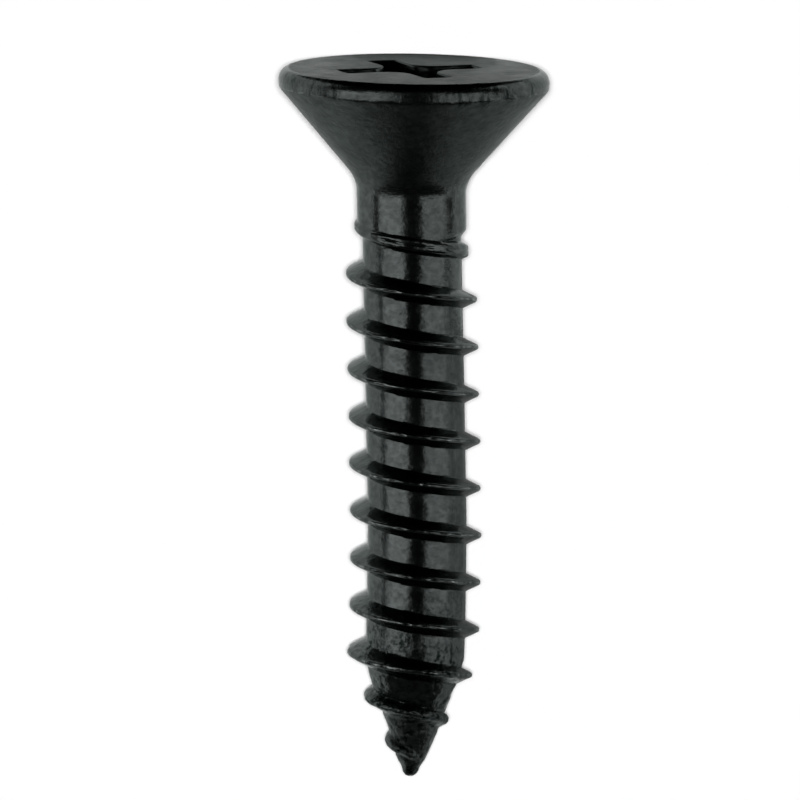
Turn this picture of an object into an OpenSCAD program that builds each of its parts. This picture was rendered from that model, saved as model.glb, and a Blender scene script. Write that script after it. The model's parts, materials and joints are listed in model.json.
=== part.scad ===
// Self-tapping screw, 3.5 x 19 mm: countersunk head with a cross recess, plain neck,
// spaced rolled thread and a gimlet point. One solid, lying as it comes to rest.
// In the screw's own frame the axis is Z, the head's top face is at z = 0 and the shank
// runs towards -Z. A distance "down" is measured along the axis from the top face.

/* [Head] */
// Diameter of the head across its land
head_d = 7.23; // [6:0.01:8.8]
// Full angle of the countersunk cone, degrees
cone_angle = 82; // [78:1:94]
// Height of the upright land between the rounded edge and the cone
land_h = 0.2; // [0.1:0.05:0.6]
// Radius of the rounded edge around the top face
edge_r = 0.3; // [0.05:0.01:0.35]
// Radius of the fillet between the cone and the neck
fillet_r = 1; // [0.3:0.1:1.2]

/* [Cross recess] */
// Distance across two opposite arms at the mouth
recess_mouth_d = 4; // [3.4:0.1:4.6]
// Distance across two opposite arms at the top of the bottom cone
recess_floor_d = 2.29; // [1.6:0.01:2.6]
// Width of an arm at the top of the bottom cone
arm_floor_w = 0.62; // [0.5:0.01:0.9]
// Lean of an arm's two flanks, degrees from upright
arm_flank_lean = 2.5; // [1:0.25:8]
// Lean of an arm's outer end, degrees from upright
arm_end_lean = 26.5; // [22:0.5:32]
// Full angle of the bottom cone, degrees
recess_floor_angle = 140; // [120:1:150]
// Distance from the axis to where an arm's straight flanks begin
arm_flank_start = 1.05; // [0.9:0.05:1.3]
// Turn of the recess about the axis, degrees
recess_turn = 21; // [0:1:89]

/* [Shank] */
// Length from the top face to the end of the point
screw_len = 19.05; // [16:0.01:25]
// Diameter of the plain neck under the head
neck_d = 2.92; // [2.7:0.01:3.3]
// Length of the plain neck between the fillet and the first crest
neck_len = 0.87; // [0.5:0.01:3]
// Length of the slope from the neck to the thread's root
neck_slope_len = 0.6; // [0.2:0.1:1]
// Diameter at the root of the thread
root_d = 2.64; // [2.3:0.01:2.7]
// Length of the tapered point
point_len = 3.05; // [2.4:0.05:4.5]
// Radius of the blunt end of the point
tip_r = 0.18; // [0.06:0.01:0.2]

/* [Thread] */
// Hand of the thread
thread_hand = "left"; // [left, right]
// Diameter over the thread's crests
major_d = 3.51; // [3.2:0.01:4.2]
// Distance between neighbouring crests along the axis
pitch = 1.27; // [1:0.01:1.6]
// Full angle between a thread's two flanks, degrees
flank_angle = 60; // [45:1:65]
// Width of the flat left along a crest
crest_w = 0.1; // [0.04:0.01:0.16]
// Direction in which the first crest shows, degrees round the axis from the screw's right
start_turn = 180; // [0:1:359]
// Part of a turn that the first low crest keeps its height
low_crest_turns = 0.5; // [0.2:0.1:0.8]
// Height of that low first crest above the neck
low_crest_h = 0.05; // [0.02:0.01:0.1]
// Part of a turn in which the crest then grows to its full height
growth_turns = 0.5; // [0.3:0.1:1]
// Curve of the crest's taper along the point, where 1 is a straight cone
crest_taper_power = 0.8; // [0.7:0.05:1]

/* [Hidden] */
steel_colour = "#2c2e2d";
facets = 96;
// Steps in each turn of the thread, and how deep its band is sunk in the core
thread_steps = 30;
bury = 0.1;

head_r = head_d / 2;
neck_r = neck_d / 2;
root_r = root_d / 2;
major_r = major_d / 2;
cone_half = cone_angle / 2;
cone_top = edge_r + land_h;
cone_end = cone_top + (head_r - neck_r) / tan(cone_half);
fillet_reach = fillet_r * tan(cone_half / 2);
neck_end = cone_end + fillet_reach + neck_len;
root_start = neck_end + neck_slope_len;
point_start = screw_len - point_len;
tip_flat_r = 0.3 * tip_r;
hand_sign = thread_hand == "left" ? 1 : -1;

// The thread runs from inside the neck, a quarter turn before its first crest shows,
// to just short of the blunt end of the point.
thread_top = neck_end - pitch / 4;
thread_bottom = screw_len - 2 * tip_r;
low_crest_end = neck_end + low_crest_turns * pitch;
full_crest_start = low_crest_end + growth_turns * pitch;
step_len = pitch / thread_steps;
station_count = floor((thread_bottom - thread_top) / step_len) + 1;

recess_slope_depth = (recess_mouth_d - recess_floor_d) / 2 / tan(arm_end_lean);
recess_floor_depth = recess_floor_d / 2 / tan(recess_floor_angle / 2);
recess_depth = recess_slope_depth + recess_floor_depth;
// The recess's cutter stands this far out of the head
recess_over = 0.5;

// Half the width of a recess arm at a distance down the screw
function arm_half_w(down) = arm_floor_w / 2 + (recess_slope_depth - down) * tan(arm_flank_lean);

// The core from the neck to the end of the point, as distances down and radii there
core_profile = [
    [neck_end, neck_r],
    [root_start, root_r],
    [point_start, root_r],
    [screw_len - tip_r, tip_r],
    [screw_len, tip_flat_r]
];

// Radius of the core, without its thread, at a distance down the screw
function core_radius(down) = lookup(down, core_profile);

// Radius of the crest at a distance down the screw
function crest_radius(down) =
    down < point_start
    ? lookup(down, [
        [thread_top, neck_r - bury / 2],
        [neck_end, neck_r + low_crest_h],
        [low_crest_end, neck_r + low_crest_h],
        [full_crest_start, major_r]
    ])
    : major_r * pow((screw_len - down) / point_len, crest_taper_power);

// Direction of the crest at a distance down the screw
function crest_turn(down) = start_turn + hand_sign * 360 * (down - neck_end) / pitch;

// The lying screw touches the floor at the lower edge of the head's land and at the crest
// that leaves it the least tilt. Its underside faces this way round the axis.
under_turn = 90;
first_under = neck_end + hand_sign * (under_turn - start_turn) / 360 * pitch;
under_crests = [for (down = [first_under:pitch:thread_bottom]) if (down > full_crest_start) down];
tilt = atan(min([
    for (down = under_crests) (head_r - crest_radius(down)) / (down + crest_w / 2 - cone_top)
]));
lying_back = (head_r - edge_r) * sin(tilt) - edge_r * cos(tilt) + edge_r;
lying_front = -screw_len * cos(tilt);

// One corner of the thread's section, turned to its place round the axis
function corner(radius, down, turn) = [radius * cos(turn), radius * sin(turn), -down];

// The four corners of the thread's section: buried, crest, crest, buried
function section(down) =
    let(
        turn = crest_turn(down),
        crest = max(crest_radius(down), core_radius(down) - bury / 2),
        half_base = crest_w / 2 + (crest - core_radius(down) + bury) * tan(flank_angle / 2),
        upper = down - half_base,
        lower = down + half_base
    )
    [
        corner(max(core_radius(upper) - bury, tip_flat_r), upper, turn),
        corner(crest, down - crest_w / 2, turn),
        corner(crest, down + crest_w / 2, turn),
        corner(max(core_radius(lower) - bury, tip_flat_r), lower, turn)
    ];

// The rolled thread as a closed band wound round the core
module thread() {
    corners = 4;
    last = station_count - 1;
    points = [for (i = [0:last]) each section(thread_top + i * step_len)];
    sides = [
        for (i = [0:last - 1], j = [0:corners - 1])
            let(
                a = i * corners + j,
                b = i * corners + (j + 1) % corners,
                c = b + corners,
                d = a + corners
            )
            each (thread_hand == "left" ? [[c, b, a], [d, c, a]] : [[a, b, c], [a, c, d]])
    ];
    top_cap = thread_hand == "left" ? [0, 1, 2, 3] : [3, 2, 1, 0];
    bottom_cap = [for (j = top_cap) last * corners + (corners - 1 - j)];
    polyhedron(points = points, faces = concat([top_cap], sides, [bottom_cap]));
}

// What the rounded edge takes off the square corner of the head's top face
module edge_waste() {
    difference() {
        translate([head_r - edge_r, -edge_r]) square(2 * edge_r);
        translate([head_r - edge_r, -edge_r]) circle(r = edge_r, $fn = facets);
    }
}

// Half outline of head, neck, core and point, which is turned round the axis
module outline() {
    difference() {
        polygon([
            [0, 0],
            [head_r, 0],
            [head_r, -cone_top],
            [neck_r + fillet_reach * sin(cone_half), -cone_end + fillet_reach * cos(cone_half)],
            [neck_r, -cone_end - fillet_reach],
            each [for (p = core_profile) [p[1], -p[0]]],
            [0, -screw_len]
        ]);
        edge_waste();
        translate([neck_r + fillet_r, -cone_end - fillet_reach]) circle(r = fillet_r, $fn = facets);
    }
}

// Head, neck, core and point in one turned shape
module turned_body() rotate_extrude($fn = facets) outline();

// One pair of opposite arms, with flanks that lean in towards the floor
module arm_pair() {
    reach = recess_mouth_d / 2 + recess_over;
    rotate([90, 0, 90])
        translate([0, 0, -reach])
            linear_extrude(2 * reach)
                polygon([
                    [-arm_half_w(-recess_over), recess_over],
                    [arm_half_w(-recess_over), recess_over],
                    [arm_half_w(recess_depth), -recess_depth],
                    [-arm_half_w(recess_depth), -recess_depth]
                ]);
}

// The middle of the cross, with four rounded corners that run on from the arms' flanks
module recess_middle() {
    deep = recess_depth + recess_over;
    difference() {
        translate([-arm_flank_start, -arm_flank_start, -recess_depth])
            cube([2 * arm_flank_start, 2 * arm_flank_start, deep]);
        for (x = [-1, 1], y = [-1, 1])
            translate([x * arm_flank_start, y * arm_flank_start, -recess_depth])
                cylinder(
                    h = deep,
                    r1 = arm_flank_start - arm_half_w(recess_depth),
                    r2 = arm_flank_start - arm_half_w(-recess_over),
                    $fn = facets
                );
    }
}

// The punched cross recess, turned to its place
module recess() {
    rotate([0, 0, recess_turn])
        intersection() {
            rotate_extrude($fn = facets)
                polygon([
                    [0, recess_over],
                    [recess_mouth_d / 2 + recess_over * tan(arm_end_lean), recess_over],
                    [recess_floor_d / 2, -recess_slope_depth],
                    [0, -recess_depth]
                ]);
            union() {
                arm_pair();
                rotate([0, 0, 90]) arm_pair();
                recess_middle();
            }
        }
}

// Lays the screw on its side: the head's lower edge and the thread's lowest crest both
// touch the floor at z = 0, and the origin is under the middle of its length.
module lying()
    translate([0, -(lying_front + lying_back) / 2, head_r * cos(tilt) + cone_top * sin(tilt)])
        rotate([tilt - 90, 0, 0])
            children();

module screw() {
    color(steel_colour)
        lying()
            difference() {
                union() {
                    turned_body();
                    thread();
                }
                recess();
            }
}

screw();
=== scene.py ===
"""A countersunk self-tapping screw in black-finished steel, lying on a white table.

The screw is drawn in its own frame first: millimetres, the axis along Z, the head's top face
at z = 0 and the shank running towards -Z. "Down" is a distance along the axis from that face.
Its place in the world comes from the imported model's mounts.
"""

import json
import math
from collections import namedtuple
from functools import partial

import bpy
from mathutils import Matrix, Vector, noise


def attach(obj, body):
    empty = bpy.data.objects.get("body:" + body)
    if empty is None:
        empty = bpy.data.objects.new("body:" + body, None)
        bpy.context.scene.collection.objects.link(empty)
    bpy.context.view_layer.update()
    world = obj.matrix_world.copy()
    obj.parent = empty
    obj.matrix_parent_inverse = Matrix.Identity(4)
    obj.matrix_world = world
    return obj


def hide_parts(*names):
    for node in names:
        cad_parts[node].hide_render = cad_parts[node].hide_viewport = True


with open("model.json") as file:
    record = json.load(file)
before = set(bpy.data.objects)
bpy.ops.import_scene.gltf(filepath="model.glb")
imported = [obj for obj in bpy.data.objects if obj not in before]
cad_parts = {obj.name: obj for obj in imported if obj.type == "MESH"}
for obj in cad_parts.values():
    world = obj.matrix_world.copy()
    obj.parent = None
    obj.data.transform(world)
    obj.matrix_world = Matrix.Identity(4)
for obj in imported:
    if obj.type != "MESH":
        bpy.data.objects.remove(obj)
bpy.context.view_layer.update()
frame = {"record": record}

bl_info = {
    "name": "Self-tapping screw",
    "version": (1, 0, 0),
    "blender": (4, 5, 0),
    "location": "View3D > Sidebar > Screw",
    "description": "Builds a countersunk self-tapping screw and the table it lies on",
    "category": "Add Mesh",
}

MM = 0.001
BODY = "root"
NODE = "screw"
PIECE = "self_tapping_screw"
MOUNTS = {mount["name"]: mount for mount in frame["record"]["mounts"]}
HEAD_TOP = Vector(MOUNTS["head_top"]["pos_m"])
AXIS_UP = Vector(MOUNTS["head_top"]["axis"]).normalized()
THREAD_DOWN = (HEAD_TOP - Vector(MOUNTS["thread"]["pos_m"])).length / MM
TIP_DOWN = THREAD_DOWN + MOUNTS["thread"]["dims"]["length_mm"]


def in_mm(name, description, default):
    """A real size of the screw in millimetres."""
    return bpy.props.FloatProperty(name=name, description=description, default=default, precision=3)


def angle_of(name, description, degrees):
    """An angle, written here in degrees."""
    return bpy.props.FloatProperty(
        name=name, description=description, default=math.radians(degrees), subtype="ANGLE"
    )


class ScrewSizes(bpy.types.PropertyGroup):
    """Real sizes of the screw in millimetres, and its angles."""

    length: in_mm("Length", "From the head's top face to the end of the point", TIP_DOWN)
    head_d: in_mm(
        "Head", "Diameter of the head across its land", 2 * MOUNTS["countersunk_seat"]["dims"]["r_mm"]
    )
    cone_angle: angle_of("Cone", "Full angle of the countersunk cone", 82)
    land_h: in_mm("Land", "Height of the upright land round the head", 0.27)
    edge_r: in_mm("Edge", "Width of the rounded edge round the top face", 0.3)
    edge_h: in_mm("Edge height", "Height of that edge, which the blow flattened, at front and back", 0.23)
    edge_sag: in_mm("Edge sag", "How much higher that edge is at the left and right", 0.09)
    fillet_r: in_mm("Fillet", "Radius of the fillet between cone and neck", 1.0)
    recess_mouth_d: in_mm("Recess mouth", "Across two opposite arms at the mouth", 4.0)
    recess_floor_d: in_mm("Recess floor", "Across two opposite arms where the floor's cone begins", 2.29)
    arm_floor_w: in_mm("Arm width", "Width of a recess arm where the floor's cone begins", 0.62)
    arm_flank_start: in_mm("Arm start", "From the axis to where an arm's straight flanks begin", 1.05)
    arm_flank_lean: angle_of("Flank lean", "Lean of an arm's flanks from upright", 2.5)
    arm_end_lean: angle_of("End lean", "Lean of an arm's outer end from upright", 26.5)
    recess_floor_angle: angle_of("Floor angle", "Full angle of the floor's cone", 140)
    recess_turn: angle_of("Recess turn", "Turn of the recess about the axis", 23.3)
    recess_off: in_mm("Recess offset", "How far the recess was struck off centre, to the left", 0.1)
    recess_back: in_mm("Recess back", "How far the recess was struck off centre, to the back", 0.08)
    neck_d: in_mm("Neck", "Diameter of the plain neck", 2.92)
    neck_end: in_mm("Neck end", "Distance down to the end of the plain neck", THREAD_DOWN)
    root_d: in_mm("Root", "Diameter at the thread's root", 2.64)
    major_d: in_mm("Crest", "Diameter over the thread's crests", 2 * MOUNTS["thread"]["dims"]["r_mm"])
    pitch: in_mm("Pitch", "Distance between neighbouring crests along the axis", 1.27)
    flank_angle: angle_of("Flanks", "Full angle between the thread's flanks", 52)
    crest_round: in_mm("Crest rounding", "Radius across the rolled top of a full crest", 0.085)
    crest_off: in_mm("Crest offset", "How far the crests were rolled off centre, to the left", 0.038)
    lean: angle_of("Lean", "How far head and thread lie out of square with the axis", 0.9)
    point_len: in_mm("Point", "Length of the tapered point", 3.05)
    tip_r: in_mm("Tip", "Radius of the blunt end of the point", 0.22)


def hex_colour(name, description, default):
    """An sRGB colour as a hex code."""
    return bpy.props.StringProperty(name=name, description="sRGB colour " + description, default=default)


class ScrewFinish(bpy.types.PropertyGroup):
    """Colours and gloss of the blackened steel."""

    coat_hex: hex_colour("Coat", "that white paper has when it is mirrored in the coat", "3e4241")
    rubbed_hex: hex_colour("Thin coat", "where the coat is thin", "505554")
    worn_hex: hex_colour("Worn crest", "of crests where the coat is rubbed off", "8c9190")
    # Head and cone are also painted part of the way towards this colour: a painted shade
    hollow_and_shade_hex: hex_colour("Hollows", "of pits and grooves that keep a thick coat", "111a18")
    glance_hex: hex_colour("Glance", "that tints reflections at a glance along the surface", "cdd1cf")
    roughness: bpy.props.FloatProperty(
        name="Roughness", description="Roughness of the smooth rolled surface", default=0.2, min=0.0, max=1.0
    )


def brightness_of(name, description, default):
    """A brightness, where that of white paper in the picture is 1."""
    return bpy.props.FloatProperty(name=name, description=description, default=default, min=0.0)


class StudioSettings(bpy.types.PropertyGroup):
    """Camera and lights."""

    pixels_per_mm: bpy.props.FloatProperty(
        name="Scale", description="Pixels to a millimetre in the picture, 800 pixels wide", default=37.5
    )
    lens: bpy.props.FloatProperty(
        name="Lens", description="Focal length of the long lens in millimetres", default=1500.0
    )
    camera_lean: angle_of(
        "Camera lean", "How far the camera leans from straight down towards the head's side", 0.4
    )
    strip_light: brightness_of("Strips", "Brightness of the left strip light", 1.45)
    strip_balance: brightness_of("Balance", "Right strip light's brightness as a share of the left one's", 0.75)
    ceiling_light: brightness_of("Ceiling", "Brightness of the dark room above the table", 0.02)
    fill_light: brightness_of("Fill", "Brightness of white paper under the overhead fill alone", 1.055)


def own_to_world():
    """The matrix from the screw's own frame, in millimetres, to the world, in metres."""
    across = Vector((1, 0, 0))
    under = AXIS_UP.cross(across)
    turn = Matrix((across, under, AXIS_UP)).transposed().to_4x4()
    return Matrix.Translation(HEAD_TOP) @ turn @ Matrix.Scale(MM, 4)


def clamp(value, low=0.0, high=1.0):
    return min(max(value, low), high)


def smooth_step(value, start, end):
    """0 before start, 1 after end, and an even curve between."""
    t = clamp((value - start) / (end - start))
    return t * t * (3 - 2 * t)


def smooth_max(a, b, blend):
    """The larger of two heights, with their meeting rounded over the blend."""
    near = max(blend - abs(a - b), 0.0) / blend
    return max(a, b) + near * near * blend / 4


def ramp(value, *stops):
    """A straight-line table of (place, value) stops."""
    for (a, low), (b, high) in zip(stops, stops[1:]):
        if value < b:
            return low + (high - low) * clamp((value - a) / (b - a))
    return stops[-1][1]


# Mesh columns round the axis, the direction of the first, and where the first crest shows
COLUMNS = 160
START_TURN = math.radians(90)
CREST_SHOWS_TURN = math.radians(180)

# Degrees round the axis, and how much further the neck runs on there
NECK_RUN = ((180, 0.0), (230, 0.15), (285, 0.27), (330, 0.0))
# Distance left to the end of the point, and the pinched core's radius there
POINT_CORE = ((0.45, 0.355), (0.75, 0.47), (1.3, 0.67), (1.9, 0.895), (2.5, 1.12))
# Distance down, and how far below their even pitch the crests lie there
CREST_CREEP = ((5.0, 0.03), (6.5, 0.08), (15.0, 0.07), (16.5, 0.02), (18.4, -0.08))
# Distance down, and how far to the right the shank's bowed axis lies there
SHANK_BOW = ((5.5, -0.04), (8.5, 0.02), (12.2, 0.085), (14.5, 0.06), (16.5, 0.0), (18.2, -0.03))
# The same where the neck begins and at the end of the point
NECK_BOW, TIP_BOW = -0.07, -0.11
# The neck's slope down to the root, from and to these distances below its end
NECK_SLOPE = (0.05, 0.3)
# How far the point's taper reaches up into the shank
POINT_LEAD = 0.1
# Curve of the crests' taper along the point, where 1 is a straight cone
CREST_TAPER_POWER = 0.8
# The first strand: pitches below the neck's end, and how far its crest stands off the neck there,
# how many pitches below it the crest is full, and half the width of its broad top by the same pitches
FIRST_STRAND = ((-0.35, -0.06), (0.0, 0.045), (0.5, 0.06))
FULL_CREST = 0.95
FIRST_TOP = ((0.0, 0.02), (0.25, 0.1), (0.5, 0.1), (1.0, 0.0))
# Stretches over which the skin gets rough, the coat pitted, the end crumpled and the crests
# blunter, as distances down from the start of the point, and how much blunter they get
ROUGH, PITTED, CRUMPLED, BLUNT = (-1.5, 0.6), (-2.9, -0.2), (0.8, 1.6), (0.6, 1.6)
BLUNTER = 0.9


def column_turn(column):
    """Direction of a mesh column round the axis, counted on over every turn of the thread."""
    return START_TURN + 2 * math.pi * column / COLUMNS


class ScrewShape:
    """The screw's form as radii and rings, worked out from its sizes."""

    def __init__(self, sizes):
        self.sizes = sizes
        self.head_r, self.neck_r = sizes.head_d / 2, sizes.neck_d / 2
        self.root_r, self.major_r = sizes.root_d / 2, sizes.major_d / 2
        self.cone_half = sizes.cone_angle / 2
        self.cone_top = sizes.edge_h + sizes.land_h
        self.cone_end = self.cone_top + (self.head_r - self.neck_r) / math.tan(self.cone_half)
        self.fillet_reach = sizes.fillet_r * math.tan(self.cone_half / 2)
        self.neck_top = self.cone_end + self.fillet_reach
        self.point_start = sizes.length - sizes.point_len
        self.wall_depth = (sizes.recess_mouth_d - sizes.recess_floor_d) / 2 / math.tan(sizes.arm_end_lean)
        self.floor_slope = 1 / math.tan(sizes.recess_floor_angle / 2)

    def below_neck(self, pitches):
        """Distance down to a place that many pitches below the neck's end."""
        return self.sizes.neck_end + pitches * self.sizes.pitch

    def neck_run(self, turn):
        """How much further the neck runs on, in front, where the first strand covers its end."""
        return ramp(math.degrees(turn) % 360, *NECK_RUN)

    def core_radius(self, down, turn=0.0):
        """Radius without the thread: neck, root, point and the blunt end."""
        sizes = self.sizes
        neck_end = sizes.neck_end + self.neck_run(turn)
        drop = smooth_step(down, neck_end + NECK_SLOPE[0], neck_end + NECK_SLOPE[1])
        radius = self.neck_r + (self.root_r - self.neck_r) * drop
        left = sizes.length - down
        if left <= 0:
            return 0.0
        if left > sizes.point_len + POINT_LEAD:
            return radius
        return self.point_radius(left)

    def point_radius(self, left):
        """Core radius of the point by the distance left to its end: a pinched, slightly bulging cone."""
        sizes = self.sizes
        if left < sizes.tip_r:
            return sizes.tip_r * math.sqrt(1 - (1 - left / sizes.tip_r) ** 2)
        return ramp(left, (sizes.tip_r, sizes.tip_r), *POINT_CORE, (sizes.point_len + POINT_LEAD, self.root_r))

    def crest_radius(self, down):
        """Radius of the thread's crest: low at first, then full, then tapering with the point."""
        sizes = self.sizes
        if down > self.point_start - POINT_LEAD:
            left = clamp((sizes.length - down) / (sizes.point_len + POINT_LEAD))
            return self.major_r * left**CREST_TAPER_POWER
        strand = [(self.below_neck(pitches), self.neck_r + height) for pitches, height in FIRST_STRAND]
        return ramp(down, *strand, (self.below_neck(FULL_CREST), self.major_r))

    def crest_down(self, turn):
        """Distance down to the crest at a direction that counts every turn."""
        down = self.sizes.neck_end + (turn - CREST_SHOWS_TURN) / (2 * math.pi) * self.sizes.pitch
        return down + ramp(down, *CREST_CREEP)

    def crest_flat(self, down):
        """Half the flat along the crest: a broad unfinished top at first, then none."""
        return ramp(down, *((self.below_neck(pitches), half_w) for pitches, half_w in FIRST_TOP))

    def near_point(self, down, stretch):
        """0 before a stretch near the point, 1 after it."""
        return smooth_step(down, self.point_start + stretch[0], self.point_start + stretch[1])

    def crest_rounding(self, down):
        """Radius across the top of the crest, which is blunter on the point."""
        return self.sizes.crest_round * (1 + BLUNTER * self.near_point(down, BLUNT))

    def crest_drop(self, beside, down):
        """How far the surface lies below the crest, by the distance along the axis from its middle."""
        rounding, flat = self.crest_rounding(down), self.crest_flat(down)
        lean = self.sizes.flank_angle / 2
        beside = max(abs(beside) - flat, 0.0)
        edge = rounding * math.cos(lean)
        if beside < edge:
            return rounding - math.sqrt(rounding**2 - beside**2)
        return rounding * (1 - math.sin(lean)) + (beside - edge) / math.tan(lean)

    def crest_reach(self, height, down):
        """Distance along the axis from the crest's middle to the foot of its flank."""
        rounding, flat = self.crest_rounding(down), self.crest_flat(down)
        lean = self.sizes.flank_angle / 2
        fall = max(height - rounding * (1 - math.sin(lean)), 0.0)
        return flat + rounding * math.cos(lean) + fall * math.tan(lean)

    def roughness(self, down):
        """0 on the smooth rolled shank, rising to 1 on the point that the dies pinched off."""
        return self.near_point(down, ROUGH)

    def pitting(self, down):
        """0 where the coat is even, 0.5 where it is pitted and 1 on the crumpled end of the point."""
        return 0.5 * self.near_point(down, PITTED) + 0.5 * self.near_point(down, CRUMPLED)

    def bow(self, down):
        """Sideways drift of the axis: the head sits a little off, the shank bows and the end bends."""
        return ramp(
            down, (self.cone_top, 0.0), (self.neck_top, NECK_BOW), *SHANK_BOW, (self.sizes.length, TIP_BOW)
        )


# How much of its pitch the band of one turn reaches above the crest
BAND_TOP = 0.35
# Mesh rows over the crest's top and its flanks, as shares, and past their foot, in millimetres
CREST_ROWS = (-1.0, -0.75, -0.5, -0.32, -0.16, 0.0, 0.16, 0.32, 0.5, 0.75, 1.0)
FLANK_ROWS = (0.25, 0.5, 0.75, 0.92)
FOOT_ROWS = (0.0, 0.02, 0.05)
ROOT_ROWS_ABOVE, ROOT_ROWS_BELOW = 2, 8
# Height and width that a flank keeps at least, so that its rows stay apart
LEAST_FLANK = 0.02


def band_rows(shape, down):
    """Places of the mesh rows across one pitch of thread, as distances below the crest."""
    pitch = shape.sizes.pitch
    flat = shape.crest_flat(down)
    height = max(shape.crest_radius(down) - shape.core_radius(down), LEAST_FLANK)
    lip = flat + shape.crest_rounding(down) * math.cos(shape.sizes.flank_angle / 2)
    foot = max(shape.crest_reach(height, down), lip + LEAST_FLANK)
    side = [lip + (foot - lip) * share for share in FLANK_ROWS] + [foot + step for step in FOOT_ROWS]
    above, below, end = -BAND_TOP * pitch, (1 - BAND_TOP) * pitch, side[-1]
    rows = [above + (-end - above) * i / ROOT_ROWS_ABOVE for i in range(ROOT_ROWS_ABOVE)]
    rows += [-place for place in reversed(side)]
    rows += [lip * share for share in CREST_ROWS]
    rows += side
    rows += [end + (below - end) * i / ROOT_ROWS_BELOW for i in range(1, ROOT_ROWS_BELOW + 1)]
    return rows


ROWS = ROOT_ROWS_ABOVE + 2 * (len(FLANK_ROWS) + len(FOOT_ROWS)) + len(CREST_ROWS) + ROOT_ROWS_BELOW

# Unevenness of the rolled surface: heights in millimetres, each with the ripples to a millimetre
# that its noise has. "_POINT" values are added towards the point.
CREST_WAVE, CREST_WAVE_POINT = 0.018, 0.014
NICK_H, NICK_H_RAGGED, NICKS_PER_MM = 0.008, 0.003, 7.0
SKIN_WAVE, SKIN_WAVES_PER_MM = 0.0025, 3.1
POINT_DENT, POINT_DENTS_PER_MM = 0.032, 3.6
POINT_CRUMPLE, POINT_CRUMPLES_PER_MM = 0.013, 8.0
# Noises that follow the crests: how fine they are round the axis and along it, and where they start
UNEVEN_NOISE, LAP_NOISE, NICK_NOISE = (1.7, 0.9, 0), (2.3, 1.3, 7), (6.5, 3.7, 3)
# The seam that the dies leave along the crests: depth, half its width, how far it strays, how much
# of it shows and how much its nicks break it
SEAM_DEPTH, SEAM_HALF_W, SEAM_STRAY, SEAM_SHOWS, SEAM_BREAKS = 0.022, 0.035, 0.015, 0.35, 2.2
# Pitches below the neck's end over which the first strand's ragged crest gets smooth
RAGGED_END = (0.6, 1.0)
# Core radius below which the point's dents and crumples fade, and where the noise of its dents starts
TIP_FADE, DENT_START = 0.4, Vector((3, 1, 7))
# The fillet at the foot of the flanks
FOOT_BLEND = 0.025
# Distances down between which the end's crests go off centre twice as far
END_CRESTS = (16.8, 17.8)


def thread_radius(shape, turn, crest_down, below):
    """Radius of the threaded surface at a distance below the crest."""
    sizes = shape.sizes
    down = crest_down + below
    cos_t, sin_t = math.cos(turn), math.sin(turn)

    def around(radius, along):
        return Vector((radius * cos_t, radius * sin_t, along))

    def along_crest(fine_round, fine_along, start):
        return noise.noise(around(fine_round, crest_down * fine_along + start))

    core = shape.core_radius(down, turn)
    rough = shape.roughness(down)
    ragged = max(rough, 1 - smooth_step(crest_down, *map(shape.below_neck, RAGGED_END)))
    wave = CREST_WAVE + CREST_WAVE_POINT * rough
    crest = shape.crest_radius(crest_down) + wave * along_crest(*UNEVEN_NOISE)
    crest -= sizes.crest_off * cos_t * (1 + smooth_step(crest_down, *END_CRESTS))
    flank = crest - shape.crest_drop(below, crest_down)
    nick = along_crest(*NICK_NOISE)
    seam = clamp(1 - abs(below + SEAM_STRAY * nick) / SEAM_HALF_W)
    flank -= SEAM_DEPTH * seam * clamp(SEAM_SHOWS + along_crest(*LAP_NOISE) + SEAM_BREAKS * nick)
    if flank > core:
        nicks = noise.noise(around(crest, -down) * NICKS_PER_MM)
        flank += (NICK_H + NICK_H_RAGGED * ragged) * nicks
    radius = smooth_max(core, flank, FOOT_BLEND)
    place = around(radius, -down)
    radius += SKIN_WAVE * noise.noise(place * SKIN_WAVES_PER_MM)
    rough *= clamp(core / TIP_FADE)
    radius += POINT_DENT * rough * noise.noise(place * POINT_DENTS_PER_MM + DENT_START)
    radius += POINT_CRUMPLE * rough * noise.noise(place * POINT_CRUMPLES_PER_MM)
    return max(radius, 0.0)


class MeshRows:
    """Collects points and faces, with the place of each point in the screw's own frame."""

    def __init__(self, shape):
        self.shape = shape
        self.points, self.zones, self.matt, self.faces = [], [], [], []

    def point(self, radius, down, turn, **zone):
        """Adds a point by its radius, distance down and direction, and returns its number."""
        return self.flat_point(radius * math.cos(turn), radius * math.sin(turn), down, **zone)

    def flat_point(self, x, y, down, streaky=0.0, worn=0.0, matt=0.0):
        """Adds a point by its two places across the axis, bowed and leaning as the screw is.

        The rest says how the surface was made there: streaked by a trimming die, rubbed bare
        or struck matt. The rubbed value also paints a highlight on the face's left, and the matt
        value also paints a shade on head and cone. The rough end of the thread is known from the
        distance down.
        """
        self.points.append((x + self.shape.bow(down), y, -down - x * math.tan(self.shape.sizes.lean)))
        self.zones.append((streaky, self.shape.pitting(down), worn))
        self.matt.append(matt)
        return len(self.points) - 1

    def face(self, *corners):
        """Adds a face, leaving out corners that fall together."""
        kept = []
        for corner in corners:
            if corner not in kept:
                kept.append(corner)
        if len(kept) > 2:
            self.faces.append(kept)

    def join_rings(self, upper, lower):
        """Faces between two closed rings of the same count, upper one first."""
        count = len(upper)
        for i in range(count):
            j = (i + 1) % count
            self.face(upper[i], lower[i], lower[j], upper[j])


# Mesh columns to an arm of the cross, and to half its end, one flank and half an inner corner
ARM_STEPS = COLUMNS // 4
END_STEPS = 6
FLANK_STEPS = 8
CORNER_STEPS = ARM_STEPS // 2 - END_STEPS - FLANK_STEPS


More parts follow.
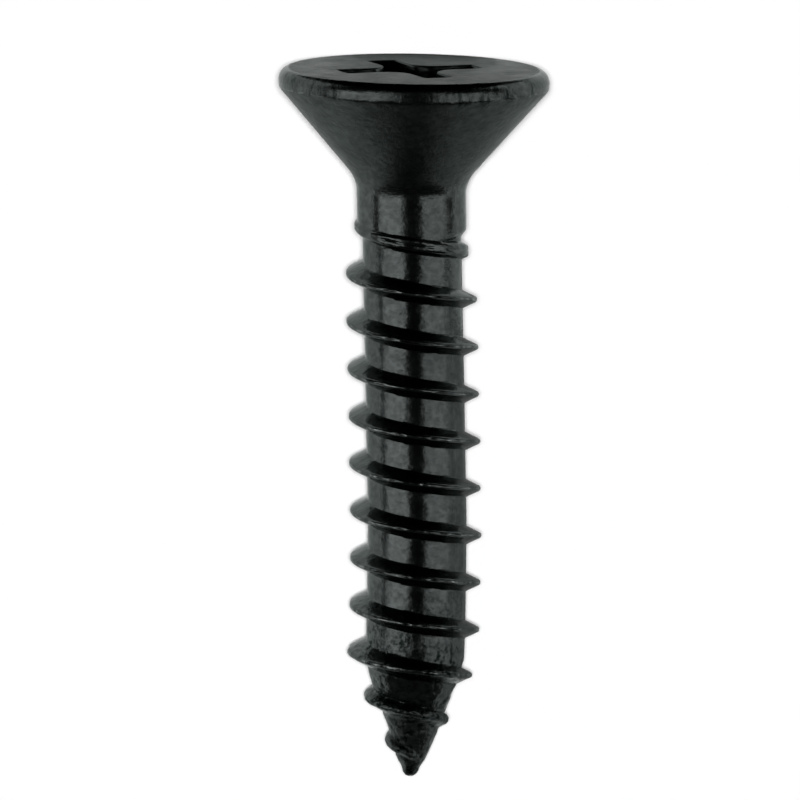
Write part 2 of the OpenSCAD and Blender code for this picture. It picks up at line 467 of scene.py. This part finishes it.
def recess_outline(shape, down_at):
    """The cross's outline, one point a column, where down_at gives each point's depth."""
    sizes = shape.sizes
    first = round((START_TURN - sizes.recess_turn) / (2 * math.pi) * COLUMNS)
    outline = []
    for column in range(COLUMNS):
        step = (column + first + ARM_STEPS // 2) % ARM_STEPS - ARM_STEPS // 2
        arm = (column + first - step) // ARM_STEPS
        down = down_at(column)
        half_w = sizes.arm_floor_w / 2 + (shape.wall_depth - down) * math.tan(sizes.arm_flank_lean)
        end_r = sizes.recess_mouth_d / 2 - down * math.tan(sizes.arm_end_lean)
        end_turn = math.asin(min(half_w / end_r, 1.0))
        flank_x = end_r * math.cos(end_turn)
        start_x = min(sizes.arm_flank_start, flank_x)
        corner_r = start_x - half_w
        side = abs(step)
        if side <= END_STEPS:
            turn = end_turn * side / END_STEPS
            x, y = end_r * math.cos(turn), end_r * math.sin(turn)
        elif side <= END_STEPS + FLANK_STEPS:
            share = (side - END_STEPS) / FLANK_STEPS
            x, y = flank_x + (start_x - flank_x) * share, half_w
        else:
            share = (side - END_STEPS - FLANK_STEPS) / CORNER_STEPS
            turn = -math.pi / 2 - math.pi / 4 * share
            x, y = start_x + corner_r * math.cos(turn), start_x + corner_r * math.sin(turn)
        y = math.copysign(y, step)
        turned = sizes.recess_turn + arm * math.pi / 2
        cos_t, sin_t = math.cos(turned), math.sin(turned)
        outline.append(Vector((x * cos_t - y * sin_t, x * sin_t + y * cos_t)))
    return outline


def outward(outline):
    """The outline's normals, pointing into the metal."""
    count = len(outline)
    normals = []
    for i in range(count):
        along = outline[(i + 1) % count] - outline[i - 1]
        normals.append(Vector((along.y, -along.x)).normalized())
    return normals


WALL_RINGS = 12
FLOOR_RINGS = 5
# Passes in which the walls' lower edge and the sloping floor find each other
FLOOR_PASSES = 6
# The mouth's lip: its radius, the turns of its rings, how deep it is sunk and how far that reaches
MOUTH_ROUND = 0.045
MOUTH_TURNS = (30, 60, 90)
MOUTH_SINK = 0.015
SINK_REACH = 0.35


def add_recess(mesh):
    """The punched cross: floor cone, walls and the rounded mouth. Returns the ring at the mouth."""
    shape = mesh.shape
    floor_r = shape.sizes.recess_floor_d / 2

    def floor_down(radius):
        return shape.wall_depth + (floor_r - radius) * shape.floor_slope

    def add_point(place, down, **zone):
        x, y = place.x - shape.sizes.recess_off, place.y + shape.sizes.recess_back
        return mesh.flat_point(x, y, down, **zone)

    depths = [shape.wall_depth] * COLUMNS
    for _ in range(FLOOR_PASSES):
        bottom = recess_outline(shape, lambda column: depths[column])
        depths = [floor_down(point.length) for point in bottom]
    start = MOUTH_ROUND + MOUTH_SINK
    centre = add_point(Vector((0, 0)), floor_down(0))
    rings = []
    for k in range(1, FLOOR_RINGS + 1):
        share = k / FLOOR_RINGS
        rings.append([add_point(p * share, floor_down(p.length * share)) for p in bottom])
    for k in range(WALL_RINGS - 1, -1, -1):
        share = k / WALL_RINGS
        downs = [start + (depth - start) * share for depth in depths]
        outline = recess_outline(shape, lambda column: downs[column])
        rings.append([add_point(p, down) for p, down in zip(outline, downs)])
    mouth = recess_outline(shape, lambda column: start)
    normals = outward(mouth)
    for turn in MOUTH_TURNS:
        out = MOUTH_ROUND * (1 - math.cos(math.radians(turn)))
        down = MOUTH_SINK + MOUTH_ROUND * (1 - math.sin(math.radians(turn)))
        rings.append([add_point(p + n * out, down, matt=1.0) for p, n in zip(mouth, normals)])
    for i in range(COLUMNS):
        j = (i + 1) % COLUMNS
        mesh.face(centre, rings[0][i], rings[0][j])
    for inner, outer in zip(rings, rings[1:]):
        mesh.join_rings(inner, outer)
    return rings[-1]


FACE_RINGS = 14
EDGE_RINGS = 8
LAND_RINGS = 4
CORNER_RINGS = 4
CONE_RINGS = 18
FILLET_RINGS = 14
# The face's rings crowd towards the mouth, and the cone's towards the land, by these powers
FACE_CROWDING = 1.7
CONE_CROWDING = 1.3
# The struck face lies this far below its rim, and waves and ripples by these heights
FACE_SINK = 0.004
FACE_WAVE, FACE_WAVES_PER_MM = 0.006, 1.3
FACE_RIPPLE, FACE_RIPPLES_PER_MM = 0.004, 5.1
# How much the face is rubbed, and how much lighter it is painted at its left, a painted highlight, from and to
# these places
FACE_RUB, FACE_PAINTED_HIGHLIGHT_LEFT = 0.08, 0.2
FACE_HIGHLIGHT_FROM, FACE_HIGHLIGHT_TO = 0.4, 2.4
# Size of the land's rounded lower corner, and how much it is rubbed
CORNER_CUT, CORNER_RUB = 0.07, 0.4
# Height of the land's ragged borders, and how coarse and how fine they are round the head
RAGGED_H = 0.035
COARSE_RAGS, FINE_RAGS = 14, 43
# How strong the fine rags are, how ragged the land's upper border is, where its lower one is 1, and
# the powers by which rags fade up the rounded edge and down the cone
FINE_SHARE, UPPER_RAGS, EDGE_FADE, CONE_FADE = 0.9, 0.8, 6, 12
# How matt the rounded edge ends and the land is, where face and cone are 1, and the lean in
# radians at which the fillet has lost it. The same value paints these parts darker, a painted shade
EDGE_MATT_AND_SHADE, LAND_MATT_AND_SHADE, FILLET_BRIGHT = 0.3, 0.1, 0.1
# Waves of edge, land and cone
HEAD_WAVE, HEAD_WAVES_PER_MM = 0.0025, 2.1
# The die's streaks fade in between these distances inside the land
STREAKS_FROM, STREAKS_TO = 0.28, 0.1

ProfileRow = namedtuple("ProfileRow", "radius down ragged matt worn")


def add_face(mesh, mouth):
    """The struck top face, from the recess's mouth to its rounded edge. Returns its rings."""
    face_r = mesh.shape.head_r - mesh.shape.sizes.edge_r
    rings = [mouth]
    for k in range(1, FACE_RINGS + 1):
        share = (k / FACE_RINGS) ** FACE_CROWDING
        ring = []
        for column in range(COLUMNS):
            start = Vector(mesh.points[mouth[column]])
            start.z = 0
            turn = column_turn(column)
            end = Vector((face_r * math.cos(turn), face_r * math.sin(turn), 0))
            place = start.lerp(end, share)
            sunk = MOUTH_SINK * clamp(1 - (place - start).length / SINK_REACH) ** 2
            wave = FACE_WAVE * noise.noise(place * FACE_WAVES_PER_MM)
            wave += FACE_RIPPLE * noise.noise(place * FACE_RIPPLES_PER_MM)
            down = sunk + FACE_SINK - wave if k < FACE_RINGS else 0.0
            # Painted highlight: the face's left is made lighter through the rubbed colour
            worn = FACE_RUB + FACE_PAINTED_HIGHLIGHT_LEFT * smooth_step(-place.x, FACE_HIGHLIGHT_FROM, FACE_HIGHLIGHT_TO)
            ring.append(mesh.flat_point(place.x, place.y, down, matt=1.0, worn=worn))
        rings.append(ring)
    return rings


def head_profile(shape):
    """Rows of rounded edge, land, corner, cone and fillet, from the face down to the neck."""
    sizes = shape.sizes
    face_r = shape.head_r - sizes.edge_r
    rows = []
    for k in range(1, EDGE_RINGS + 1):
        share = k / EDGE_RINGS
        turn = math.pi / 2 * share
        radius, down = face_r + sizes.edge_r * math.sin(turn), sizes.edge_h * (1 - math.cos(turn))
        rows.append((radius, down, UPPER_RAGS * share**EDGE_FADE, EDGE_MATT_AND_SHADE * share, 0.0))
    for k in range(1, LAND_RINGS + 1):
        share = k / LAND_RINGS
        down = sizes.edge_h + (sizes.land_h - CORNER_CUT) * share
        rows.append((shape.head_r, down, UPPER_RAGS + (1 - UPPER_RAGS) * share, LAND_MATT_AND_SHADE, 0.0))
    cut_r, cut_h = CORNER_CUT * math.sin(shape.cone_half), CORNER_CUT * math.cos(shape.cone_half)
    for k in range(1, CORNER_RINGS + 1):
        share = k / CORNER_RINGS
        down = shape.cone_top - CORNER_CUT * (1 - share) ** 2 + cut_h * share**2
        matt = LAND_MATT_AND_SHADE + (1 - LAND_MATT_AND_SHADE) * share
        rows.append((shape.head_r - cut_r * share**2, down, 1.0, matt, CORNER_RUB if k == 1 else 0.0))
    slope_r = shape.head_r - shape.neck_r - shape.fillet_reach * math.sin(shape.cone_half) - cut_r
    slope_h = shape.cone_end - shape.fillet_reach * math.cos(shape.cone_half) - shape.cone_top - cut_h
    for k in range(1, CONE_RINGS + 1):
        share = (k / CONE_RINGS) ** CONE_CROWDING
        down = shape.cone_top + cut_h + slope_h * share
        rows.append((shape.head_r - cut_r - slope_r * share, down, (1 - share) ** CONE_FADE, 1.0, 0.0))
    for k in range(1, FILLET_RINGS + 1):
        turn = shape.cone_half * (1 - k / FILLET_RINGS)
        radius = shape.neck_r + sizes.fillet_r * (1 - math.cos(turn))
        matt = smooth_step(turn, FILLET_BRIGHT, shape.cone_half)
        rows.append((radius, shape.neck_top - sizes.fillet_r * math.sin(turn), 0.0, matt, 0.0))
    return [ProfileRow(*row) for row in rows]


def add_head(mesh, mouth):
    """Top face, rounded edge, land, cone and fillet. Returns the ring at the top of the neck."""
    shape, sizes = mesh.shape, mesh.shape.sizes
    rings = add_face(mesh, mouth)
    land_end = shape.cone_top - CORNER_CUT
    for row in head_profile(shape):
        on_land = smooth_step(row.radius, shape.head_r - STREAKS_FROM, shape.head_r - STREAKS_TO)
        ring = []
        for column in range(COLUMNS):
            turn = column_turn(column)
            around = Vector((math.cos(turn), math.sin(turn), 0))
            rags = noise.noise(around * COARSE_RAGS) + FINE_SHARE * noise.noise(around * FINE_RAGS)
            place = around * row.radius - Vector((0, 0, row.down))
            drift = HEAD_WAVE * noise.noise(place * HEAD_WAVES_PER_MM)
            sag = sizes.edge_sag * math.cos(turn) ** 2
            down = row.down + RAGGED_H * rags * row.ragged
            down += ramp(row.down, (0, 0), (sizes.edge_h, sag), (land_end, 0))
            zone = {"streaky": on_land, "matt": row.matt, "worn": row.worn}
            ring.append(mesh.point(row.radius + drift, down, turn, **zone))
        rings.append(ring)
    for inner, outer in zip(rings, rings[1:]):
        mesh.join_rings(inner, outer)
    return rings[-1]


WEDGE_ROWS = 3
# The band closes on the tip this far before the end
TIP_GAP = 0.004
# How far beside a crest its top is rubbed bare, and how much on the first strand and on the rest
RUB_HALF_W = 0.035
FIRST_RUB, CREST_RUB = 0.05, 0.8


def add_shank(mesh, neck_ring):
    """Neck, thread and point as one band that winds down the screw, one pitch tall.

    The band's upper edge is the lower edge of the turn before it. A wedge that grows from
    nothing to one pitch over the first turn joins the level ring under the head to the band.
    """
    shape, sizes = mesh.shape, mesh.shape.sizes
    tip = mesh.point(0.0, sizes.length, 0.0)
    turns = (sizes.length - shape.crest_down(START_TURN) + BAND_TOP * sizes.pitch) / sizes.pitch
    columns = int(turns * COLUMNS) + 1
    grid = []
    for column in range(columns):
        turn = column_turn(column)
        crest = shape.crest_down(turn)
        line = []
        for below in band_rows(shape, crest)[:-1]:
            if crest + below >= sizes.length - TIP_GAP:
                line.append(tip)
            else:
                radius = thread_radius(shape, turn, crest, below)
                flat = shape.crest_flat(crest)
                worn = clamp(1 - max(abs(below) - flat, 0) / RUB_HALF_W)
                worn *= FIRST_RUB if flat > FIRST_TOP[0][1] else CREST_RUB
                line.append(mesh.point(radius, crest + below, turn, worn=worn * (radius > shape.neck_r)))
        grid.append(line)

    def number(column, row):
        if row == ROWS - 1:
            column, row = column + COLUMNS, 0
        return grid[column][row] if column < columns else tip

    for column in range(columns):
        for row in range(ROWS - 1):
            mesh.face(*(number(column + c, row + r) for c, r in ((0, 0), (0, 1), (1, 1), (1, 0))))

    first_edge = shape.crest_down(START_TURN) - BAND_TOP * sizes.pitch
    side = [row + BAND_TOP * sizes.pitch for row in band_rows(shape, shape.crest_down(START_TURN))]
    wedge = [[ring_point] for ring_point in neck_ring]
    for column in range(COLUMNS):
        turn = column_turn(column)
        for row in range(1, WEDGE_ROWS):
            down = shape.neck_top + (first_edge - shape.neck_top) * row / WEDGE_ROWS
            wedge[column].append(mesh.point(shape.neck_r, down, turn))
        for row in range(ROWS):
            if column == 0 or row == ROWS - 1:
                wedge[column].append(number(column, 0))
            else:
                down = first_edge + side[row] * column / COLUMNS
                wedge[column].append(mesh.point(shape.core_radius(down, turn), down, turn))
    wedge.append(wedge[0][:WEDGE_ROWS] + [number(0, row) for row in range(ROWS)])
    for column in range(COLUMNS):
        here, beside = wedge[column], wedge[column + 1]
        for row in range(len(here) - 1):
            mesh.face(here[row], here[row + 1], beside[row + 1], beside[row])


def linear(hex_code):
    """Turns an sRGB hex code into a linear colour."""
    channels = [int(hex_code[i : i + 2], 16) / 255 for i in (0, 2, 4)]
    return [c / 12.92 if c <= 0.04045 else ((c + 0.055) / 1.055) ** 2.4 for c in channels] + [1.0]


def add_node(tree, kind, links=None, **settings):
    """Adds a shader node, sets its properties or sockets by name, and links sockets to it.

    A link's source is a socket, or a node whose first output in use is meant.
    """
    node = tree.nodes.new("ShaderNode" + kind)
    for name, value in settings.items():
        if hasattr(node, name):
            setattr(node, name, value)
        else:
            node.inputs[name.replace("_", " ")].default_value = value
    for socket, source in (links or {}).items():
        if isinstance(source, bpy.types.Node):
            source = next(output for output in source.outputs if output.enabled)
        tree.links.new(source, node.inputs[socket])
    return node


# Noise on the steel: features to a millimetre, twice across the screw and once along it, detail
# and roughness.
# The coat's thickness clouds over 0.9 mm. Dents from tumbling are 0.2 to 0.3 mm wide. The coat's
# grain is finer than 0.05 mm, and is drawn twice as coarse so that it shows. Pits are 0.15 mm wide.
# The trimming die's streaks are 0.3 mm apart and 1 mm long.
STEEL_NOISE = {
    "cloud": ((1.1, 1.1, 1.1), 4.0, 0.6),
    "dents": ((3.2, 3.2, 5.5), 3.0, 0.6),
    "grain": ((9.0, 9.0, 9.0), 5.0, 0.65),
    "pits": ((6.5, 6.5, 6.5), 3.0, 0.65),
    "streaks": ((3.6, 3.6, 0.9), 5.0, 0.7),
}


def blackened_steel(finish):
    """Cold-headed and thread-rolled carbon steel under a black conversion coat.

    The rolled skin is smooth, so lamps stay readable in it, and faint dents round the screw
    make their edges waver. The coat takes most of the light, also at a glance along the
    surface. Crests are rubbed bare in places, and the face's left is painted lighter with the
    same colour, a painted highlight. The struck head and the cone are matt, and painted darker
    as a painted shade for their dim reflections.
    The trimmed land keeps upright die streaks with dark grooves. Towards the point, pinched off
    by the dies, the steel is pitted, with dark hollows in patches, and then rough and dull.
    """
    material = bpy.data.materials.new("blackened_steel")
    material.use_nodes = True
    tree = material.node_tree
    tree.nodes.clear()
    add = partial(add_node, tree)
    own = add("Attribute", attribute_name="own_mm").outputs["Vector"]
    zone = add("Attribute", attribute_name="zone").outputs["Vector"]
    zones = add("SeparateXYZ", {"Vector": zone})
    streaky, rough, rubbed_and_sheen = zones.outputs["X"], zones.outputs["Y"], zones.outputs["Z"]
    matt = add("Attribute", attribute_name="matt").outputs["Fac"]

    noises = {}
    for name, (per_mm, detail, roughness) in STEEL_NOISE.items():
        scaled = add("Mapping", {"Vector": own}, Scale=per_mm)
        noises[name] = add("TexNoise", {"Vector": scaled}, Scale=1.0, Detail=detail, Roughness=roughness)
    cloud, dents, pits, streaks = (noises[name] for name in ("cloud", "dents", "pits", "streaks"))

    # Colour: the coat is thinner where dents and pits stand high, and gone in places on the crests; the same
    # rubbed colour paints a highlight on the face's left
    mottle = add("Math", {0: dents, 1: pits}, operation="MULTIPLY")
    thin = add("MapRange", {"Value": mottle}, From_Min=0.15, From_Max=0.35)
    coat_colours = {"A": linear(finish.coat_hex), "B": linear(finish.rubbed_hex)}
    coat = add("Mix", {"Factor": thin}, data_type="RGBA", **coat_colours)
    marks = add("MapRange", {"Value": dents}, From_Min=0.48, From_Max=0.6)
    bare_and_sheen = add("Math", {0: rubbed_and_sheen, 1: marks}, operation="MULTIPLY")
    steel = add("Mix", {"Factor": bare_and_sheen, "A": coat}, data_type="RGBA", B=linear(finish.worn_hex))

    # Darker: the floors of pits in patches near the point, the land's grooves, and the matt head and cone,
    # which are painted darker as a painted shade for their dim reflections
    near_point = add("MapRange", {"Value": rough}, From_Max=0.5)
    patches = add("MapRange", {"Value": cloud}, From_Min=0.42, From_Max=0.58, To_Min=0.3)
    patchy = add("Math", {0: near_point, 1: patches}, operation="MULTIPLY")
    pit_floors = add("MapRange", {"Value": pits}, From_Min=0.43, From_Max=0.48, To_Min=1.0, To_Max=0.0)
    hollow = add("Math", {0: patchy, 1: pit_floors}, operation="MULTIPLY")
    groove_floors = add("MapRange", {"Value": streaks}, From_Min=0.39, From_Max=0.47, To_Min=0.75, To_Max=0.0)
    groove = add("Math", {0: streaky, 1: groove_floors}, operation="MULTIPLY")
    # Painted shade: the matt head and cone are mixed towards the hollows' colour
    struck_shade_and_dull = add("MapRange", {"Value": matt}, To_Max=0.38)
    dark = add("Math", {0: hollow, 1: groove}, operation="MAXIMUM")
    dark = add("Math", {0: dark, 1: struck_shade_and_dull}, operation="MAXIMUM")
    colour = add("Mix", {"Factor": dark, "A": steel}, data_type="RGBA", B=linear(finish.hollow_and_shade_hex))

    # Gloss: uneven with the cloud, duller on the pinched point and on the matt head
    dull = add("MapRange", {"Value": cloud}, From_Min=0.3, From_Max=0.7, To_Min=-0.06, To_Max=0.06)
    pinched = add("MapRange", {"Value": rough}, From_Min=0.5, To_Min=finish.roughness, To_Max=0.3)
    struck_shade_and_dull = add("MapRange", {"Value": matt}, To_Max=0.17)
    for more in (pinched, struck_shade_and_dull):
        dull = add("Math", {0: dull, 1: more})

    # Relief: each noise with its height, which grows towards the point, on the matt head or on the land
    rough_grain = add("MapRange", {"Value": rough}, To_Min=0.002 * MM, To_Max=0.015 * MM)
    matt_grain = add("MapRange", {"Value": matt}, To_Max=0.01 * MM)
    heights = {
        "grain": add("Math", {0: rough_grain, 1: matt_grain}),
        "dents": add("MapRange", {"Value": rough}, To_Min=0.014 * MM, To_Max=0.015 * MM),
        "pits": add("MapRange", {"Value": rough}, From_Min=0.1, To_Min=0.004 * MM, To_Max=0.035 * MM),
        "streaks": add("MapRange", {"Value": streaky}, To_Max=0.012 * MM),
    }
    below = {}
    for name, height in heights.items():
        below = {"Normal": add("Bump", {"Height": noises[name], "Distance": height, **below}, Strength=1.0)}

    shader = add(
        "BsdfPrincipled", {"Base Color": colour, "Roughness": dull, **below},
        Metallic=1.0, Specular_Tint=linear(finish.glance_hex),
    )
    add("OutputMaterial", {"Surface": shader})
    return material


def make_object(name, points, faces, matrix):
    """A mesh object whose place is in its vertices."""
    mesh = bpy.data.meshes.new(name)
    mesh.from_pydata([matrix @ Vector(point) for point in points], [], faces)
    mesh.validate()
    piece = bpy.data.objects.new(name, mesh)
    bpy.context.scene.collection.objects.link(piece)
    return piece


def store_values(mesh, name, kind, field, values):
    """Keeps values of one kind at the vertices, which the material reads by name."""
    mesh.attributes.new(name, kind, "POINT").data.foreach_set(field, values)


# Edges between faces that meet at more than this angle stay sharp
SHARP_ANGLE = math.radians(38)


class OBJECT_OT_build_screw(bpy.types.Operator):
    """Build the screw as one closed mesh in place of its plain node"""

    bl_idname = "object.build_screw"
    bl_label = "Build screw"

    def execute(self, context):
        scene = context.scene
        shape = ScrewShape(scene.screw_sizes)
        rows = MeshRows(shape)
        neck_ring = add_head(rows, add_recess(rows))
        add_shank(rows, neck_ring)
        piece = make_object(PIECE, rows.points, rows.faces, own_to_world())
        if len(piece.data.vertices) != len(rows.points):
            raise RuntimeError("the screw's mesh lost points")
        for name, triples in (("own_mm", rows.points), ("zone", rows.zones)):
            store_values(piece.data, name, "FLOAT_VECTOR", "vector", [n for triple in triples for n in triple])
        store_values(piece.data, "matt", "FLOAT", "value", rows.matt)
        piece.data.shade_smooth()
        piece.data.set_sharp_from_angle(angle=SHARP_ANGLE)
        piece.data.materials.append(blackened_steel(scene.screw_finish))
        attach(piece, BODY)
        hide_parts(NODE)
        return {"FINISHED"}


# Width of the picture, and where the axis and the head's top lie in it, in pixels
PICTURE_W = 800
AXIS_X_IN_PICTURE = 414.0
HEAD_TOP_Y_IN_PICTURE = 68.75
SENSOR_W = 36.0
# The table reaches this far from its middle, in metres
TABLE_REACH = 4.0
PAPER_HEX = "f7f7f7"
# The overhead fill is broad, so that the screw's shadow is soft
FILL_ANGLE = math.radians(5)
# Sines of the angles above the table between which the white horizon ends
HORIZON = (0.03, 0.06)
# Sines of the angles towards the head between which the strip lights begin and end
STRIP_START, STRIP_END = (-0.42, -0.34), (-0.04, 0.04)
# Side of the lens, and degrees from it to the strip's near edge and far edge, and half their blur
LEFT_STRIP, RIGHT_STRIP = (-1, 19, 76, 4), (1, 22, 84, 5)


def paper_material():
    """Matt white card, which shows the screw's soft shadow and nothing else."""
    material = bpy.data.materials.new("matt_white_card")
    material.use_nodes = True
    shader = material.node_tree.nodes["Principled BSDF"]
    shader.inputs["Base Color"].default_value = linear(PAPER_HEX)
    shader.inputs["Roughness"].default_value = 0.9
    shader.inputs["Specular IOR Level"].default_value = 0.0
    return material


def card_material(name, brightness):
    """Card held up only for the steel to mirror, from black velvet to lit grey paper. It glows with its own
    brightness and only reflections see it: a painted reflection.
    """
    material = bpy.data.materials.new(name)
    material.use_nodes = True
    tree = material.node_tree
    tree.nodes.clear()
    card = add_node(tree, "Emission", Color=(1.0, 1.0, 1.0, 1.0), Strength=brightness)
    add_node(tree, "OutputMaterial", {"Surface": card})
    return material


def studio_surroundings(world, studio):
    """White all round at table height, two strip lights beside the lens, and a dark room above.

    The strips are drawn by direction. Diffuse rays don't see them, so they don't light the table.
    """
    world.use_nodes = True
    tree = world.node_tree
    tree.nodes.clear()
    add = partial(add_node, tree)
    toward = add("TexCoord").outputs["Generated"]
    axes = add("SeparateXYZ", {"Vector": toward})
    across, along, up = axes.outputs["X"], axes.outputs["Y"], axes.outputs["Z"]
    sideways = add("Math", {0: across, 1: up}, operation="ARCTAN2")

    strips = []
    right_light = studio.strip_light * studio.strip_balance
    for (side, near, far, blur), light in ((LEFT_STRIP, studio.strip_light), (RIGHT_STRIP, right_light)):
        aside = add("Math", {0: sideways}, operation="MULTIPLY")
        aside.inputs[1].default_value = side
        strip = None
        for source, start, end, before, after in (
            (aside, math.radians(near - blur), math.radians(near + blur), 0.0, light),
            (aside, math.radians(far - blur), math.radians(far + blur), 1.0, 0.0),
            (along, *STRIP_START, 0.0, 1.0),
            (along, *STRIP_END, 1.0, 0.0),
        ):
            edge = add(
                "MapRange", {"Value": source}, interpolation_type="SMOOTHSTEP",
                From_Min=start, From_Max=end, To_Min=before, To_Max=after,
            )
            if strip:
                edge = add("Math", {0: strip, 1: edge}, operation="MULTIPLY")
            strip = edge
        strips.append(strip)

    both = add("Math", dict(enumerate(strips)))
    diffuse = add("LightPath").outputs["Is Diffuse Ray"]
    mirrored = add("MapRange", {"Value": diffuse}, To_Min=1.0, To_Max=0.0)
    mirrored = add("Math", {0: both, 1: mirrored}, operation="MULTIPLY")
    horizon = add(
        "MapRange", {"Value": up}, interpolation_type="SMOOTHSTEP",
        From_Min=HORIZON[0], From_Max=HORIZON[1], To_Min=1.0, To_Max=studio.ceiling_light,
    )
    light = add("Math", {0: mirrored, 1: horizon})
    background = add("Background", {"Strength": light}, Color=(1.0, 1.0, 1.0, 1.0))
    add("OutputWorld", {"Surface": background})


# Cards for the steel to mirror: the two ends of a card's lower edge, the way from there to its
# upper edge, in millimetres, and its brightness. Flags are black. Each card glows with that
# brightness and only reflections see it, so in the steel it is a painted reflection or a painted shade.
# The flags at the left and right make the dark lines beside the windows of light, on neck and land,
# and card_right greys the shank's right side. flag_head makes the dark line round the head's top
# edge. card_back and card_front lie on the table before the head, for the slope of grey on its face.
# card_floor and card_crests lie on the table, to keep its light out of the crests' right sides.
# card_tip is the dark beyond the tip that the cone and the lower flanks mirror.
CARDS = {
    "flag_left_neck": ((-14, 3, 4.6), (-14, 6.6, 4.6), (0, 0, 3.7), 0.0),
    "flag_left_head": ((-14, 6.6, 7.2), (-14, 9.5, 7.2), (0, 0, 3.0), 0.0),
    "flag_right_neck": ((14, 6.6, 2.0), (14, 3, 2.0), (0, 0, 4.7), 0.0),
    "flag_right_head": ((14, 9.5, 6.5), (14, 6.6, 6.5), (0, 0, 3.0), 0.0),
    "card_right": ((14, 3, 0.4), (14, -20, 0.4), (0, 0, 2.6), 0.5),
    "flag_head": ((5, 12.4, 0.4), (-5, 12.4, 0.4), (0, 0, 40), 0.0),
    "card_back": ((-2.2, 9.6, 0.03), (2.2, 9.6, 0.03), (0, 0.37, 0), 0.2),
    "card_floor": ((2.4, -12, 0.05), (13, -12, 0.05), (0, 14.3, 0), 0.6),
    "card_crests": ((1.45, -12, 0.04), (2.4, -12, 0.04), (0, 16.2, 0), 0.28),
    "card_front": ((-1.6, 9.97, 0.03), (1.6, 9.97, 0.03), (0, 0.8, 0), 0.7),
    "card_tip": ((-13, -12.4, 0.4), (7.5, -12.4, 0.4), (0, 0, 12), 0.05),
}


def add_cards():
    """Sets the cards round the screw, where only reflections see them."""
    for name, (start, end, rise, brightness) in CARDS.items():
        start, end, rise = Vector(start), Vector(end), Vector(rise)
        corners = [start, end, end + rise, start + rise]
        card = make_object(name, corners, [(0, 1, 2, 3)], Matrix.Scale(MM, 4))
        card.data.materials.append(card_material(name, brightness))
        card.visible_camera = False
        card.visible_diffuse = False
        card.visible_shadow = False


class OBJECT_OT_build_studio(bpy.types.Operator):
    """Set the white table, the strip lights, the fill and the camera"""

    bl_idname = "object.build_studio"
    bl_label = "Build studio"

    def execute(self, context):
        scene = context.scene
        studio = scene.studio_settings
        corners = [(x * TABLE_REACH, y * TABLE_REACH, 0) for x, y in ((-1, -1), (1, -1), (1, 1), (-1, 1))]
        table = make_object("table", corners, [(0, 1, 2, 3)], Matrix.Identity(4))
        table.data.materials.append(paper_material())

        add_cards()

        fill = bpy.data.lights.new("overhead_fill", "SUN")
        fill.energy = studio.fill_light * math.pi
        fill.angle = FILL_ANGLE
        fill_lamp = bpy.data.objects.new("overhead_fill", fill)
        fill_lamp.location = (0, 0, 1)
        fill_lamp.visible_glossy = False
        scene.collection.objects.link(fill_lamp)

        world = bpy.data.worlds.new("studio_surroundings")
        scene.world = world
        studio_surroundings(world, studio)

        camera = bpy.data.cameras.new("long_lens")
        camera.lens = studio.lens
        camera.sensor_width = SENSOR_W
        pixel = MM / studio.pixels_per_mm
        distance = PICTURE_W * pixel * camera.lens / camera.sensor_width
        right = (PICTURE_W / 2 - AXIS_X_IN_PICTURE) * pixel
        aim = Vector((right, HEAD_TOP.y - (PICTURE_W / 2 - HEAD_TOP_Y_IN_PICTURE) * pixel, HEAD_TOP.z))
        camera.clip_start = distance / 100
        camera.clip_end = distance * 3
        viewer = bpy.data.objects.new("camera", camera)
        lean = studio.camera_lean
        viewer.location = aim + distance * Vector((0, math.sin(lean), math.cos(lean)))
        viewer.rotation_euler = (-lean, 0, 0)
        scene.collection.objects.link(viewer)
        scene.camera = viewer
        scene.view_settings.view_transform = "Standard"
        return {"FINISHED"}


class VIEW3D_PT_screw(bpy.types.Panel):
    """Sizes, finish and lights of the screw, with the buttons that build them"""

    bl_idname = "VIEW3D_PT_screw"
    bl_label = "Self-tapping screw"
    bl_space_type = "VIEW_3D"
    bl_region_type = "UI"
    bl_category = "Screw"

    def draw(self, context):
        scene = context.scene
        for group, operator in (
            (scene.screw_sizes, None),
            (scene.screw_finish, OBJECT_OT_build_screw.bl_idname),
            (scene.studio_settings, OBJECT_OT_build_studio.bl_idname),
        ):
            box = self.layout.box()
            for name in type(group).__annotations__:
                box.prop(group, name)
            if operator:
                box.operator(operator)


CLASSES = (
    ScrewSizes, ScrewFinish, StudioSettings, OBJECT_OT_build_screw, OBJECT_OT_build_studio, VIEW3D_PT_screw
)


def register():
    for cls in CLASSES:
        bpy.utils.register_class(cls)
    bpy.types.Scene.screw_sizes = bpy.props.PointerProperty(type=ScrewSizes)
    bpy.types.Scene.screw_finish = bpy.props.PointerProperty(type=ScrewFinish)
    bpy.types.Scene.studio_settings = bpy.props.PointerProperty(type=StudioSettings)


def unregister():
    del bpy.types.Scene.studio_settings
    del bpy.types.Scene.screw_finish
    del bpy.types.Scene.screw_sizes
    for cls in reversed(CLASSES):
        bpy.utils.unregister_class(cls)


def main():
    register()
    bpy.ops.object.build_screw()
    bpy.ops.object.build_studio()


if __name__ == "__main__":
    main()
